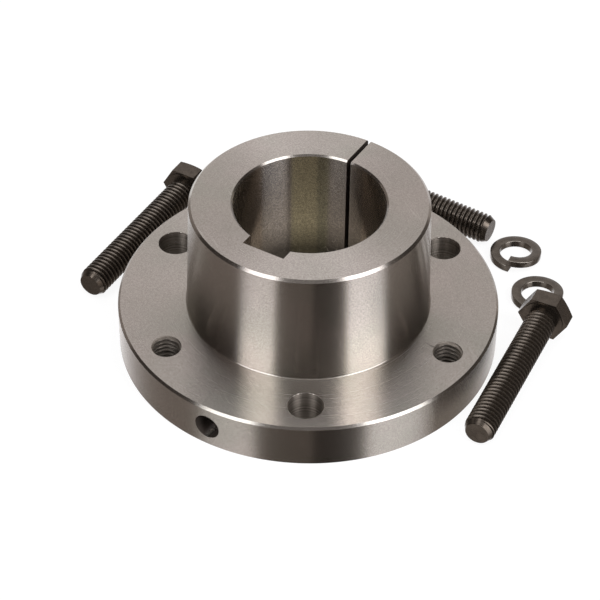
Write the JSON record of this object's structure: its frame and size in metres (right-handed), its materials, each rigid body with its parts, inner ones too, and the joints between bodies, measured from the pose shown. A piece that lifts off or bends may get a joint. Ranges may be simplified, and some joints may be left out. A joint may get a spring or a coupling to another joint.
{
  "type": "quick disconnect bushing",
  "caption": "Flanged, tapered and split shaft bushing with bore and keyway, drilled and tapped flange holes, and its loose hexagon cap screws, split lock washers and set screw.",
  "frame": {"origin": "centre of the bore in the flange's flat outer face, which lies on the floor", "axes": "+Z along the bore axis towards the small end of the taper; -Y through the keyway and the set screw, +Y through the split"},
  "size_m": [0.1921, 0.1749, 0.0667],
  "materials": {
    "turned_steel": "satin, fine turned",
    "black_oxide_steel": "black oxide, oiled",
    "spring_steel": "black oxide, oiled"
  },
  "bodies": {
    "root": {"bushing": "turned_steel", "cap_screw_1": "black_oxide_steel", "cap_screw_2": "black_oxide_steel", "cap_screw_3": "black_oxide_steel", "lock_washer_1": "spring_steel", "lock_washer_2": "spring_steel", "lock_washer_3": "spring_steel", "set_screw": "black_oxide_steel"}
  },
  "joints": []
}
